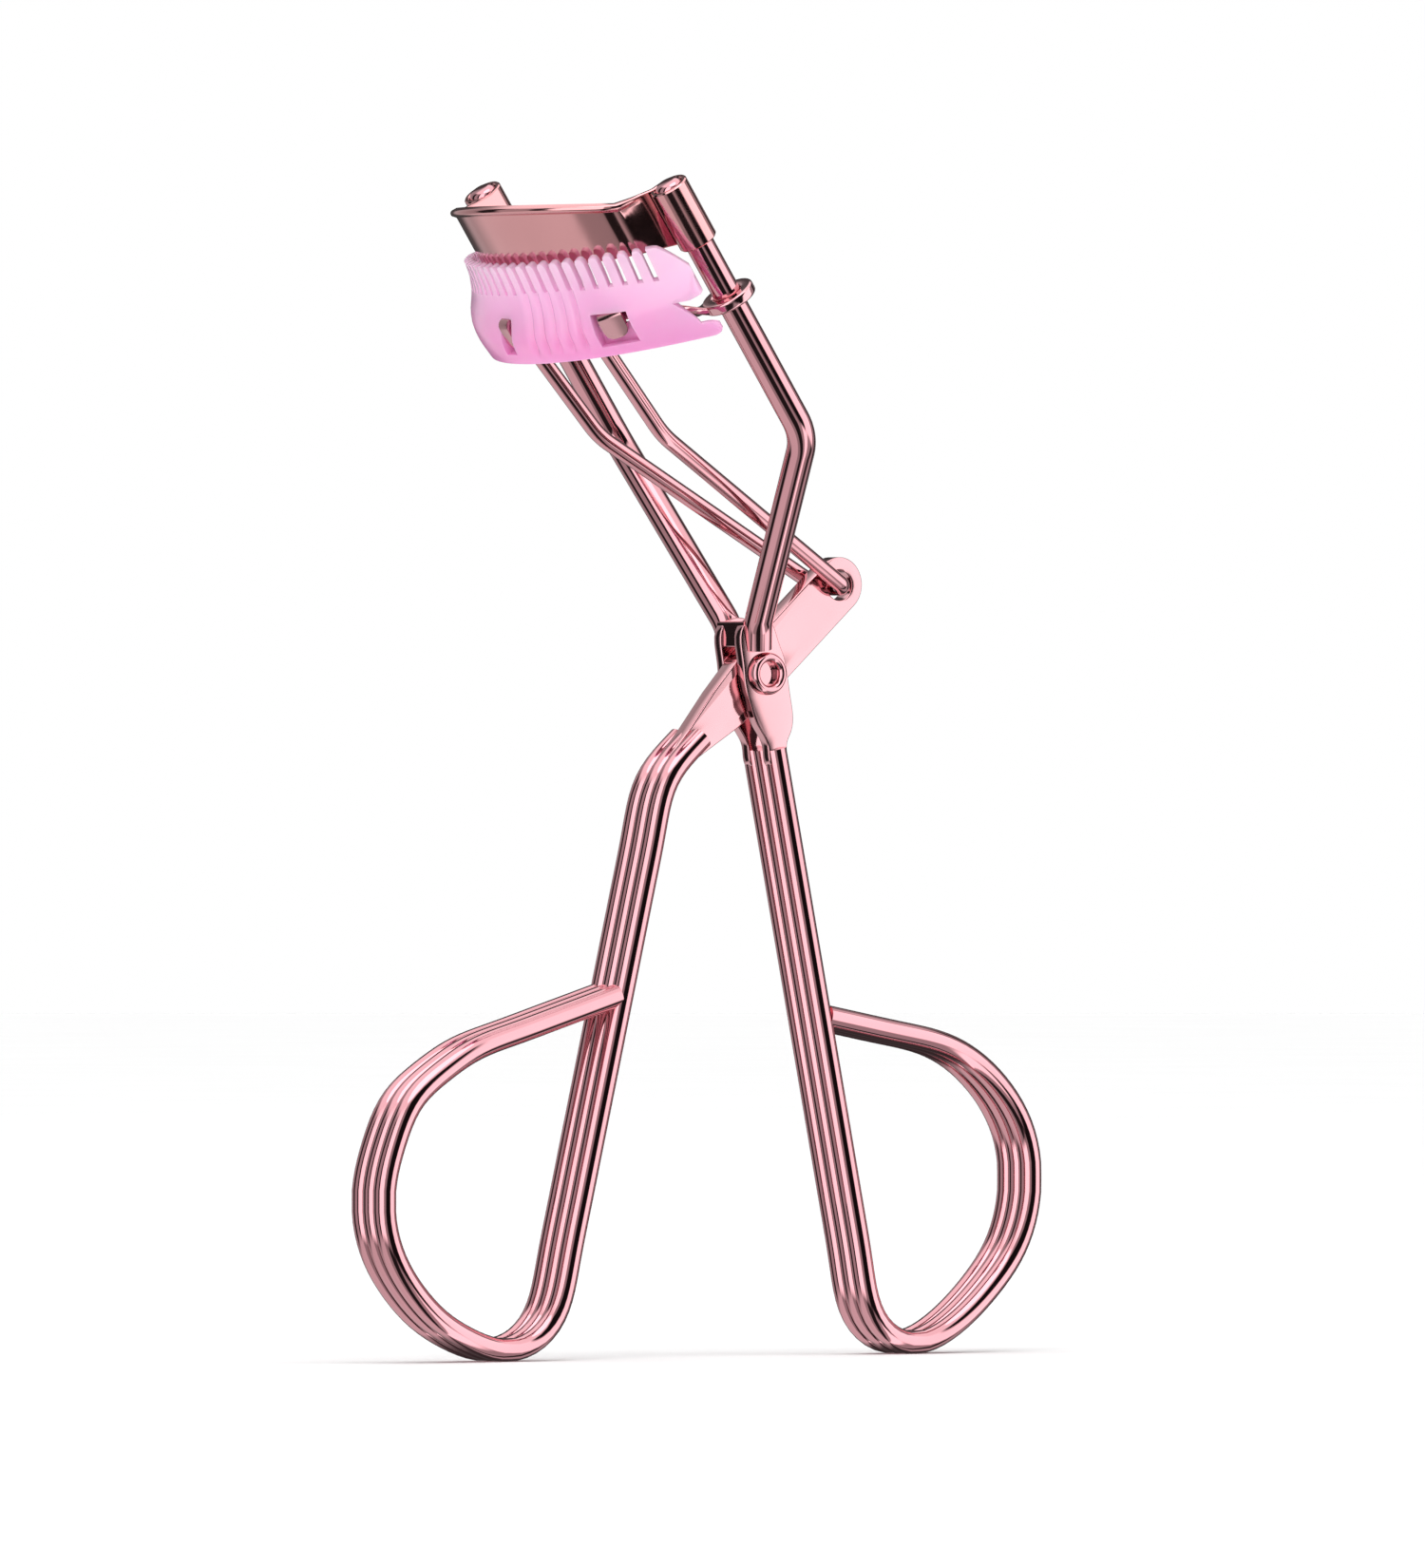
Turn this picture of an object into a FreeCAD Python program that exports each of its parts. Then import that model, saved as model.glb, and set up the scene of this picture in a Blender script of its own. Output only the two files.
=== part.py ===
import FreeCAD, Part
import math
import os

os.makedirs("parts", exist_ok=True)

# ---------------------------------------------------------------------------
# Scissor-action eyelash curler, stainless steel with a plastic lash comb.
# Millimetres, +Z up, standing on the bottoms of its two finger loops.
# Origin: middle of the footprint on the standing plane.
# X runs across the handles, Y is the pivot axis, the jaws lean towards -X.
# ---------------------------------------------------------------------------

V = FreeCAD.Vector

# pivot centre in the part frame; everything below is written about the pivot
PIVOT_X = 5.929
PIVOT_Z = 61.894

# handle strips: rolled three-ridge section
RIDGE_R = 1.05          # radius of one ridge
RIDGE_PITCH = 1.60      # ridge spacing across the strip

FRONT_PATH = [(1.35, -6.80), (13.48, -63.85), (23.54, -58.28), (31.78, -50.31),
              (30.03, -41.72), (25.47, -34.45), (7.20, -31.11)]
FRONT_RADII = [5.68, 10.56, 12.72, 9.54, 15.44]
REAR_PATH = [(-7.00, -5.80), (-11.08, -9.57), (-24.48, -63.12), (-36.33, -58.47),
             (-44.53, -49.81), (-39.61, -38.28), (-33.17, -33.96), (-16.60, -29.09)]
REAR_RADII = [5.63, 6.57, 11.87, 11.42, 5.49, 13.92]

# yoke at the top of the front handle
WALL_IN = 1.00          # inner face of each yoke wall, from the middle plane
WALL_OUT = 2.05         # outer face
YOKE_OUTLINE = [(-2.56, 4.30), (-1.00, 5.10), (0.60, 4.70), (1.50, 2.95), (2.10, 1.60),
                (2.55, -0.30), (2.90, -2.30), (3.15, -4.00), (2.95, -5.20), (2.45, -6.40),
                (2.35, -8.40), (0.75, -8.40), (0.25, -6.60), (-0.85, -4.80), (-1.75, -2.80),
                (-2.34, -0.95), (-2.56, 0.90)]

# rivet
RIVET_OD = 2.90
RIVET_ID = 2.10
RIVET_HEAD = 3.90
RIVET_HEAD_T = 0.85

# flat lever riveted in the yoke
LEVER_T = 1.80
LEVER_HALF = 2.50
LEVER_ANGLE = 41.0
LINK_HOLE_DIST = 12.31
LINK_HOLE_D = 2.76
LEVER_BORE = 3.00

# guide rods
ROD_D = 2.60
ROD_Y = 14.05
ELBOW = (-4.76, 21.40)
LEAN = 34.6             # slide direction leans this far from +Z towards -X
ROD_TOP = 27.45         # height of the rod ends along the slide direction
SLEEVE_LO, SLEEVE_HI = 21.00, 27.10
SHEET = 0.50            # jaw sheet thickness

# jaws: arc in the plane square to the slide direction
APEX_P = 9.20
ARC_R = 16.70
SLOPE = 0.38            # the jaw plane climbs this much along the slide per mm of p
BLADE_LO, BLADE_HI = 24.50, 31.40
PAD_TOP = 20.96         # at rest; closes by 3.46
PAD_T = 2.00
PAD_W = 2.40
JAW_HALF_DEG = 40.0
TABS = ((30.3, 4.6), (-7.0, 2.1))  # place round the arc and half width of the two tabs, degrees
TAB_R = 20.00           # outer face of the tab
EYE_H = 15.00
EYE_T = 1.00
EYE_ID = 2.72
EYE_OD = 5.00

# link
LINK_D = 1.50
HINGE_P, HINGE_H = 8.85, 17.20
LINK_BEND = (-13.80, 21.50)
LINK_REST_OFFSET = (-0.258, -0.187)
BARREL_OD = 2.50
BARREL_ID = 1.60
BARREL_HALF = 4.00

sl, cl = math.sin(math.radians(LEAN)), math.cos(math.radians(LEAN))


def W(x, y, z):
    """pivot frame -> part frame"""
    return V(PIVOT_X + x, y, PIVOT_Z + z)


def J(p, y, h):
    """jaw frame (p away from the rods, y, h along the slide) -> part frame"""
    return W(ELBOW[0] - cl * p - sl * h, y, ELBOW[1] - sl * p + cl * h)


def jaw_placement():
    m = FreeCAD.Matrix()
    o = J(0, 0, 0)
    # local x -> p direction, local y -> -Y so that the frame stays right-handed
    m.A11, m.A12, m.A13, m.A14 = -cl, 0.0, -sl, o.x
    m.A21, m.A22, m.A23, m.A24 = 0.0, -1.0, 0.0, o.y
    m.A31, m.A32, m.A33, m.A34 = -sl, 0.0, cl, o.z
    return m


def to_part(shape):
    """place a solid modelled as (p, -y, h) into the part frame"""
    s = shape.copy()
    s.transformShape(jaw_placement(), True)
    return s


def tilted(h0, h1):
    """slab parallel to the jaw plane, in the jaw frame; h0 and h1 hold at the arc's apex"""
    q = [V(-5, -20, h0 + SLOPE * (-5 - APEX_P)), V(14, -20, h0 + SLOPE * (14 - APEX_P)),
         V(14, -20, h1 + SLOPE * (14 - APEX_P)), V(-5, -20, h1 + SLOPE * (-5 - APEX_P))]
    return Part.Face(Part.makePolygon(q + [q[0]])).extrude(V(0, 40, 0))


def one(shape, name):
    s = shape.removeSplitter()
    if len(s.Solids) != 1:
        raise RuntimeError("%s has %d solids" % (name, len(s.Solids)))
    return s.Solids[0]


def rounded(verts, radii):
    """lines and tangent arcs of a rounded polygon in the XZ plane"""
    pts = [V(x, 0, z) for x, z in verts]
    out = []
    cur = pts[0]
    for i in range(1, len(pts) - 1):
        a, b, c = pts[i - 1], pts[i], pts[i + 1]
        d1 = (b - a).normalize()
        d2 = (c - b).normalize()
        ang = d1.getAngle(d2)
        t = radii[i - 1] * math.tan(ang / 2)
        s = b - d1 * t
        e = b + d2 * t
        axis = d1.cross(d2).normalize()
        cen = s + axis.cross(d1) * radii[i - 1]
        if (s - cur).Length > 1e-3:
            out.append(("line", cur, s))
        out.append(("arc", s, cen, axis, math.degrees(ang), d1))
        cur = e
    out.append(("line", cur, pts[-1]))
    return out


def ridge_face(at, along):
    """three-ridge section square to 'along' at point 'at' (XZ plane path)"""
    n = V(0, 1, 0).cross(along).normalize()
    r, p = RIDGE_R, RIDGE_PITCH
    k = math.sqrt(r * r - p * p / 4)

    def q(y, m):
        return at + V(0, y, 0) + n * m

    e = [Part.Arc(q(-p / 2, k), q(-p - r, 0), q(-p / 2, -k)).toShape(),
         Part.Arc(q(-p / 2, -k), q(0, -r), q(p / 2, -k)).toShape(),
         Part.Arc(q(p / 2, -k), q(p + r, 0), q(p / 2, k)).toShape(),
         Part.Arc(q(p / 2, k), q(0, r), q(-p / 2, k)).toShape()]
    return Part.Face(Part.Wire(e))


def strip(verts, radii):
    segs = []
    for s in rounded(verts, radii):
        if s[0] == "line":
            f = ridge_face(s[1], (s[2] - s[1]).normalize())
            segs.append(f.extrude(s[2] - s[1]))
        else:
            f = ridge_face(s[1], s[5])
            segs.append(f.revolve(s[2], s[3], s[4]))
    out = segs[0].multiFuse(segs[1:])
    out.translate(V(PIVOT_X, 0, PIVOT_Z))
    return out


def tube(points, radii, dia):
    """round bar along a rounded 3-D polyline in the part frame"""
    pts = points
    edges = []
    cur = pts[0]
    for i in range(1, len(pts) - 1):
        a, b, c = pts[i - 1], pts[i], pts[i + 1]
        d1 = (b - a).normalize()
        d2 = (c - b).normalize()
        ang = d1.getAngle(d2)
        t = radii[i - 1] * math.tan(ang / 2)
        s = b - d1 * t
        e = b + d2 * t
        axis = d1.cross(d2).normalize()
        cen = s + axis.cross(d1) * radii[i - 1]
        mid = cen + (b - cen).normalize() * radii[i - 1]
        if (s - cur).Length > 1e-4:
            edges.append(Part.LineSegment(cur, s).toShape())
        edges.append(Part.Arc(s, mid, e).toShape())
        cur = e
    edges.append(Part.LineSegment(cur, pts[-1]).toShape())
    path = Part.Wire(edges)
    prof = Part.Wire([Part.Circle(pts[0], (pts[1] - pts[0]).normalize(), dia / 2).toShape()])
    sol = path.makePipeShell([prof], True, True)
    return sol, path.Length


def plate(outline, y0, y1, smooth=True):
    pts = [W(x, y0, z) for x, z in outline]
    if smooth:
        c = Part.BSplineCurve()
        c.interpolate(Points=pts, PeriodicFlag=True)
        w = Part.Wire([c.toShape()])
    else:
        w = Part.makePolygon(pts + [pts[0]])
    return Part.Face(w).extrude(V(0, y1 - y0, 0))


def y_cyl(x, z, y0, y1, d):
    return Part.makeCylinder(d / 2, y1 - y0, W(x, y0, z), V(0, 1, 0))


def sector(r0, r1, h0, h1, half):
    """annular sector about the jaw arc axis, in the jaw frame"""
    c = V(APEX_P - ARC_R, 0, h0)
    a = Part.makeCylinder(r1, h1 - h0, c, V(0, 0, 1), 2 * half)
    b = Part.makeCylinder(r0, h1 - h0, c, V(0, 0, 1), 2 * half)
    s = a.cut(b)
    s.rotate(c, V(0, 0, 1), -half)
    return s


def revolved(section, half):
    """section [(r, h)...] revolved about the jaw arc axis, in the jaw frame"""
    cx = APEX_P - ARC_R
    pts = [V(cx + r, 0, h) for r, h in section]
    f = Part.Face(Part.makePolygon(pts + [pts[0]]))
    s = f.revolve(V(cx, 0, 0), V(0, 0, 1), 2 * half)
    s.rotate(V(cx, 0, 0), V(0, 0, 1), -half)
    return s


parts = {}

# --------------------------------------------------------------- front handle
front = strip(FRONT_PATH, FRONT_RADII)
wall_near = plate(YOKE_OUTLINE, -WALL_OUT, -WALL_IN)
wall_far = plate(YOKE_OUTLINE, WALL_IN, WALL_OUT)
bridge = Part.makeBox(0.75, 2 * WALL_OUT, 2.35, W(-2.50, -WALL_OUT, 2.4))
yoke = wall_near.fuse(wall_far).fuse(bridge)
front = front.fuse(yoke)
# keep the slot for the lever open down to the throat of the yoke
front = front.cut(Part.makeBox(8.0, 2 * WALL_IN, 6.2, W(-1.75, -WALL_IN, -5.70)))
front = front.cut(y_cyl(0, 0, -3, 3, RIVET_OD))
parts["front_handle"] = one(front, "front_handle")

# ------------------------------------------------------------------- rivet
rv = y_cyl(0, 0, -WALL_OUT - RIVET_HEAD_T, WALL_OUT + RIVET_HEAD_T, RIVET_OD)
for y0 in (-WALL_OUT - RIVET_HEAD_T, WALL_OUT):
    hd = y_cyl(0, 0, y0, y0 + RIVET_HEAD_T, RIVET_HEAD)
    rim = [e for e in hd.Edges if e.Curve.TypeId == "Part::GeomCircle"
           and abs(abs(e.Curve.Center.y) - (WALL_OUT + RIVET_HEAD_T)) < 1e-6]
    hd = hd.makeFillet(0.5, rim)
    rv = rv.fuse(hd)
rv = rv.cut(y_cyl(0, 0, -4, 4, RIVET_ID))
parts["pivot_rivet"] = one(rv, "pivot_rivet")

# ------------------------------------------------------------- rear handle
rear = strip(REAR_PATH, REAR_RADII)
ca, sa = math.cos(math.radians(LEVER_ANGLE)), math.sin(math.radians(LEVER_ANGLE))


def L(t, n):
    """along the lever from the pivot, and square to it"""
    return (t * ca - n * sa, t * sa + n * ca)


tip = LINK_HOLE_DIST + 0.1
low = [L(-12.6, -0.95), L(-9.3, -1.45), L(-5.0, -2.20), L(-1.0, -2.50), L(tip, -2.50)]
up = [L(tip, 2.50), L(-1.0, 2.50), L(-5.0, 2.05), L(-9.3, 1.30), L(-12.6, 0.95)]
y0 = -LEVER_T / 2
e = [Part.makePolygon([W(x, y0, z) for x, z in low]),
     Part.Arc(W(*(lambda q: (q[0], y0, q[1]))(low[-1])), W(*(lambda q: (q[0], y0, q[1]))(L(tip + 2.5, 0))),
              W(*(lambda q: (q[0], y0, q[1]))(up[0]))).toShape(),
     Part.makePolygon([W(x, y0, z) for x, z in up] + [W(low[0][0], y0, low[0][1])])]
edges = []
for w in e:
    edges += w.Edges
lever = Part.Face(Part.Wire(Part.__sortEdges__(edges))).extrude(V(0, LEVER_T, 0))
lever = lever.cut(y_cyl(0, 0, -3, 3, LEVER_BORE))
hx, hz = L(LINK_HOLE_DIST, 0)
lever = lever.cut(y_cyl(hx, hz, -3, 3, LINK_HOLE_D))
parts["lever_plate"] = one(lever, "lever_plate")
# the rolled strip is crimped round the tail of the plate
rear = rear.cut(lever)
parts["rear_handle"] = one(rear, "rear_handle")

# ------------------------------------------------------------- guide rods
for name, sgn in (("guide_rod_left", 1), ("guide_rod_right", -1)):
    pts = [W(-0.80, sgn * 1.85, 2.30), W(-1.12, sgn * 2.35, 4.60),
           W(ELBOW[0], sgn * ROD_Y, ELBOW[1]), J(0, sgn * ROD_Y, ROD_TOP)]
    rod, ln = tube(pts, [4.0, 5.0], ROD_D)
    print(name, "length", round(ln, 2), "volume ratio", round(rod.Volume / (ln * math.pi * ROD_D ** 2 / 4), 4))
    top = [ed for ed in rod.Edges if ed.Curve.TypeId == "Part::GeomCircle"
           and (ed.Curve.Center - J(0, sgn * ROD_Y, ROD_TOP)).Length < 1e-3]
    rod = rod.makeFillet(0.35, top)
    rod = rod.cut(parts["front_handle"])
    rod = rod.cut(Part.makeBox(12, 2 * WALL_IN, 12, W(-6, -WALL_IN, -2)))
    big = max(rod.Solids, key=lambda s: s.Volume)
    parts[name] = big

# ------------------------------------------------------------- upper jaw
cx = APEX_P - ARC_R
rm = ROD_D / 2 + SHEET / 2                    # middle radius of the sleeve
ARC_END = 40.0                                # the blade arc ends here
BEND_R = 2.50                                 # the sheet then bends back on this radius
a1 = math.radians(ARC_END)
bx, by = cx + (ARC_R - BEND_R) * math.cos(a1), (ARC_R - BEND_R) * math.sin(a1)
# angle at which the straight flank just meets the inner side of the sleeve
away, toward = math.hypot(bx, ROD_Y - by), math.atan2(ROD_Y - by, -bx)
a2 = toward - math.acos((rm + BEND_R) / away)
print("bend ends at", round(math.degrees(a2), 2))
blank = sector(ARC_R - SHEET / 2, ARC_R + SHEET / 2, 15, 36, ARC_END)
for sgn in (1, -1):
    c0 = V(bx, by * sgn, 15)
    turn = math.degrees(a2 - a1)
    bend = Part.makeCylinder(BEND_R + SHEET / 2, 21, c0, V(0, 0, 1), turn)
    bend = bend.cut(Part.makeCylinder(BEND_R - SHEET / 2, 21, c0, V(0, 0, 1), 360))
    bend.rotate(c0, V(0, 0, 1), math.degrees(a1) if sgn > 0 else -math.degrees(a2))
    n = V(math.cos(a2), math.sin(a2) * sgn, 0)
    e0 = c0 + n * BEND_R
    t0 = V(0, ROD_Y * sgn, 15) - n * rm
    q = [e0 + n * (SHEET / 2), t0 + n * (SHEET / 2), t0 - n * (SHEET / 2), e0 - n * (SHEET / 2)]
    flank = Part.Face(Part.makePolygon(q + [q[0]])).extrude(V(0, 0, 21))
    sleeve = Part.makeCylinder(ROD_D / 2 + SHEET, 21, V(0, ROD_Y * sgn, 15), V(0, 0, 1))
    blank = blank.fuse(bend).fuse(flank).fuse(sleeve)
for sgn in (1, -1):
    blank = blank.cut(Part.makeCylinder(ROD_D / 2, 30, V(0, ROD_Y * sgn, 10), V(0, 0, 1)))
trim = [(-4, SLEEVE_LO), (APEX_P - (BLADE_LO - SLEEVE_LO) / SLOPE, SLEEVE_LO), (12, BLADE_LO + SLOPE * (12 - APEX_P)), (12, 33.06),
        (5.60, 28.70), (4.30, 28.00), (2.60, 27.55), (0.60, SLEEVE_HI), (-4, SLEEVE_HI)]
w = Part.makePolygon([V(p, -20, h) for p, h in trim] + [V(trim[0][0], -20, trim[0][1])])
trim_solid = Part.Face(w).extrude(V(0, 40, 0))
parts["upper_jaw"] = one(to_part(blank.common(trim_solid)), "upper_jaw")

# ------------------------------------------------------------- lower jaw
r_in, r_out = ARC_R - PAD_W / 2, ARC_R + PAD_W / 2
fl_top = PAD_TOP - PAD_T
fl_bot = fl_top - SHEET
carrier = sector(r_in - 0.4, r_out + 0.4, 8, 30, JAW_HALF_DEG).common(tilted(fl_bot, fl_top + 1.3))
carrier = carrier.cut(sector(r_in, r_out, 8, 30, JAW_HALF_DEG + 1).common(tilted(fl_top, fl_top + 6)))
# two tabs folded out and down from the front wall, which hold the comb
for ang, wide in TABS:
    up = SLOPE * (cx + 19.3 * math.cos(math.radians(ang)) - APEX_P)
    shelf = sector(r_out + 0.3, TAB_R, fl_top + 0.4 + up, fl_top + 0.9 + up, wide)
    leg = sector(TAB_R - 0.5, TAB_R, fl_top - 1.9 + up, fl_top + 0.9 + up, wide)
    tab = shelf.fuse(leg)
    tab.rotate(V(cx, 0, 0), V(0, 0, 1), ang)
    carrier = carrier.fuse(tab)
carrier = to_part(carrier.removeSplitter())
for sgn in (1, -1):
    a = math.radians(JAW_HALF_DEG - 2.0)
    c0 = V(0, ROD_Y * sgn, EYE_H - EYE_T / 2)
    ring = Part.makeCylinder(EYE_OD / 2, EYE_T, c0, V(0, 0, 1))
    a1 = math.radians(JAW_HALF_DEG)
    inner = (cx + (r_in + 0.1) * math.cos(a), (r_in + 0.1) * math.sin(a) * sgn)
    outer = (cx + (r_out - 0.1) * math.cos(a), (r_out - 0.1) * math.sin(a) * sgn)
    b = 1.9
    q = [V(inner[0], inner[1], EYE_H - EYE_T / 2), V(outer[0], outer[1], EYE_H - EYE_T / 2),
         V(0.9, (ROD_Y + b) * sgn, EYE_H - EYE_T / 2), V(-0.6, (ROD_Y - b) * sgn, EYE_H - EYE_T / 2)]
    wing = Part.Face(Part.makePolygon(q + [q[0]])).extrude(V(0, 0, EYE_T))
    # upright web that carries the wing to the floor of the channel
    post = sector(r_in + 0.1, r_out - 0.1, EYE_H - EYE_T / 2, 17.3, 1.6)
    post.rotate(V(cx, 0, 0), V(0, 0, 1), (JAW_HALF_DEG - 2.1) * sgn)
    w2 = ring.fuse(wing).fuse(post)
    w2 = w2.cut(Part.makeCylinder(EYE_ID / 2, 4, V(0, ROD_Y * sgn, EYE_H - 2), V(0, 0, 1)))
    carrier = carrier.fuse(to_part(w2))
parts["lower_jaw"] = one(carrier, "lower_jaw")

pad = sector(r_in, r_out, 8, 30, JAW_HALF_DEG - 0.5).common(tilted(fl_top, PAD_TOP))
parts["silicone_pad"] = one(to_part(pad), "silicone_pad")

# ------------------------------------------------------------- hinge barrel
hp = J(HINGE_P, 0, HINGE_H)
bar = Part.makeCylinder(BARREL_OD / 2, 2 * BARREL_HALF, V(hp.x, -BARREL_HALF, hp.z), V(0, 1, 0))
saddle = Part.makeBox(1.8, 2 * BARREL_HALF, 2.4, V(HINGE_P - 0.9, -BARREL_HALF, HINGE_H))
bar = bar.fuse(to_part(saddle))
bar = bar.cut(parts["lower_jaw"])
bar = max(bar.Solids, key=lambda s: s.Volume)
bar = bar.cut(Part.makeCylinder(BARREL_ID / 2, 20, V(hp.x, -10, hp.z), V(0, 1, 0)))
bar = bar.cut(parts["silicone_pad"])
parts["link_hinge_barrel"] = max(bar.Solids, key=lambda s: s.Volume)

# ------------------------------------------------------------- link wire
ex, ez = hx + LINK_REST_OFFSET[0], hz + LINK_REST_OFFSET[1]
top_y = 5.30
pts = [W(ex, -0.15, ez), W(ex, -1.95, ez), W(LINK_BEND[0], -4.80, LINK_BEND[1]), V(hp.x, -top_y, hp.z),
       V(hp.x, top_y, hp.z), W(LINK_BEND[0], 4.80, LINK_BEND[1]), W(ex, 1.95, ez), W(ex, 0.15, ez)]
link, ln = tube(pts, [0.95, 8.0, 0.95, 0.95, 8.0, 0.95], LINK_D)
print("link length", round(ln, 2), "ratio", round(link.Volume / (ln * math.pi * LINK_D ** 2 / 4), 4))
parts["link_wire"] = one(link, "link_wire")

# ------------------------------------------------------------- lash comb
COMB = [(17.45, 28.00), (18.20, 28.00), (18.25, 24.60), (18.45, 22.90), (19.15, 20.90), (20.30, 19.00),
        (20.45, 17.60), (20.20, 15.60), (19.60, 12.00), (19.00, 12.00), (19.55, 15.60), (19.70, 17.30),
        (18.95, 18.20), (18.30, 18.95), (18.30, 20.60), (17.80, 22.20), (17.45, 23.60)]
COMB_LO, COMB_HI = 15.90, 25.00
SLOT_H = 21.90
comb = revolved(COMB, 56.0).common(tilted(COMB_LO, COMB_HI))
comb = comb.common(Part.makeBox(60, 32.8, 60, V(-30, -16.4, 0)))
# each end: lower above the jaw, and notched where the jaw's wing leads out to the rod
for sgn in (1, -1):
    for h0, h1 in ((22.20, 34.0), (17.10, 19.40)):
        end = sector(15.0, 23.0, 5, 38, 3.0)
        end.rotate(V(cx, 0, 0), V(0, 0, 1), 54.6 * sgn)
        comb = comb.cut(end.common(tilted(h0, h1)))
n_slot = 23
for i in range(n_slot):
    ang = -46.2 + i * 4.2
    pm = cx + 18.6 * math.cos(math.radians(ang))
    c = Part.makeBox(4.0, 0.50, 5.0, V(cx + 16.5, -0.25, SLOT_H + SLOPE * (pm - APEX_P)))
    c.rotate(V(cx, 0, 0), V(0, 0, 1), ang)
    comb = comb.cut(c)
for ang, wide in TABS:
    up = SLOPE * (cx + 19.3 * math.cos(math.radians(ang)) - APEX_P)
    win = sector(18.0, 21.0, fl_top - 2.05 + up, fl_top + 1.1 + up, wide + 0.6)
    win.rotate(V(cx, 0, 0), V(0, 0, 1), ang)
    comb = comb.cut(win)
# back lip that hooks under the channel at each end, clear of the hinge
lip = sector(r_out - 0.2, 19.3, 8, 30, 44.0).common(tilted(fl_bot - 0.7, fl_bot))
lip = lip.cut(sector(10, 30, 8, 30, 31.5))
comb = comb.fuse(lip)
comb = comb.cut(sector(r_in - 0.4, r_out + 0.4, 8, 30, JAW_HALF_DEG).common(tilted(fl_bot, fl_top + 1.3)))
comb = to_part(comb.removeSplitter())
comb = comb.cut(parts["lower_jaw"])
parts["comb_guard"] = one(comb, "comb_guard")

# ------------------------------------------------------------------- write
box = None
for name, s in parts.items():
    if not s.isValid():
        print("INVALID", name)
    s.exportStep("parts/%s.step" % name)
    b = s.optimalBoundingBox(False)
    print("%-18s vol %8.2f  x %.2f..%.2f y %.2f..%.2f z %.2f..%.2f solids %d faces %d" % (
        name, s.Volume, b.XMin, b.XMax, b.YMin, b.YMax, b.ZMin, b.ZMax, len(s.Solids), len(s.Faces)))
    if box is None:
        box = FreeCAD.BoundBox(b)
    else:
        box.add(b)
print("box", box)
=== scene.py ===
import bpy
import bmesh
import math
import numpy as np
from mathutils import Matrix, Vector


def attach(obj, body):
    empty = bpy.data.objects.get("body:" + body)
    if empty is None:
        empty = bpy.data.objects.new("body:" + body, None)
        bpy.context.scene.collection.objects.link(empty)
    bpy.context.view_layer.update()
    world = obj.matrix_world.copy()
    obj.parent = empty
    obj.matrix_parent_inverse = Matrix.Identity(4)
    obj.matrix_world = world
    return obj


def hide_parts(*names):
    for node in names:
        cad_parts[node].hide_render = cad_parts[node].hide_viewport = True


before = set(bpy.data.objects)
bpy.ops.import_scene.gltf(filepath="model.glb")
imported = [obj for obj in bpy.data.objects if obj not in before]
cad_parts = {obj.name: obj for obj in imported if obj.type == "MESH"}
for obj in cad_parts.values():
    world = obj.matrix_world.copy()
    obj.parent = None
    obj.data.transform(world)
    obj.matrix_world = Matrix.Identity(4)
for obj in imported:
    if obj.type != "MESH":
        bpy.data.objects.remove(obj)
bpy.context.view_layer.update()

# ---------------------------------------------------------------------------
# Sizes in millimetres, the same numbers as the CAD.
# ---------------------------------------------------------------------------
PX, PZ = 5.929, 61.894
RIDGE_R, RIDGE_PITCH = 1.05, 1.60
FRONT_PATH = [(1.35, -6.80), (13.48, -63.85), (23.54, -58.28), (31.78, -50.31),
              (30.03, -41.72), (25.47, -34.45), (7.20, -31.11)]
FRONT_RADII = [5.68, 10.56, 12.72, 9.54, 15.44]
REAR_PATH = [(-7.00, -5.80), (-11.08, -9.57), (-24.48, -63.12), (-36.33, -58.47),
             (-44.53, -49.81), (-39.61, -38.28), (-33.17, -33.96), (-16.60, -29.09)]
REAR_RADII = [5.63, 6.57, 11.87, 11.42, 5.49, 13.92]
WALL_IN, WALL_OUT = 1.00, 2.05
YOKE_OUTLINE = [(-2.56, 4.30), (-1.00, 5.10), (0.60, 4.70), (1.50, 2.95), (2.10, 1.60),
                (2.55, -0.30), (2.90, -2.30), (3.15, -4.00), (2.95, -5.20), (2.45, -6.40),
                (2.35, -8.40), (0.75, -8.40), (0.25, -6.60), (-0.85, -4.80), (-1.75, -2.80),
                (-2.34, -0.95), (-2.56, 0.90)]
RIVET_OD, RIVET_ID, RIVET_HEAD, RIVET_HEAD_T = 2.90, 2.10, 3.90, 0.85
LEVER_T, LEVER_ANGLE, LINK_HOLE_DIST, LINK_HOLE_D, LEVER_BORE = 1.80, 41.0, 12.31, 2.76, 3.00
ROD_D, ROD_Y, ELBOW, LEAN, ROD_TOP = 2.60, 14.05, (-4.76, 21.40), 34.6, 27.45
SLEEVE_LO, SLEEVE_HI, SHEET = 21.00, 27.10, 0.50
APEX_P, ARC_R, SLOPE = 9.20, 16.70, 0.38
BLADE_LO, BLADE_HI = 24.50, 31.40
PAD_TOP, PAD_T, PAD_W, JAW_HALF = 20.96, 2.00, 2.40, 40.0
TABS, TAB_R = ((-30.3, 4.6), (7.0, 2.1)), 20.00
EYE_H, EYE_T, EYE_ID, EYE_OD = 15.00, 1.00, 2.72, 5.00
LINK_D, HINGE_P, HINGE_H = 1.50, 8.85, 17.20
LINK_BEND, LINK_REST = (-13.80, 21.50), (-0.258, -0.187)
BARREL_OD, BARREL_ID, BARREL_HALF = 2.50, 1.60, 4.00
SL, CL = math.sin(math.radians(LEAN)), math.cos(math.radians(LEAN))
CX = APEX_P - ARC_R


def W(x, y, z):
    return np.array([PX + x, y, PZ + z], float)


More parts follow.
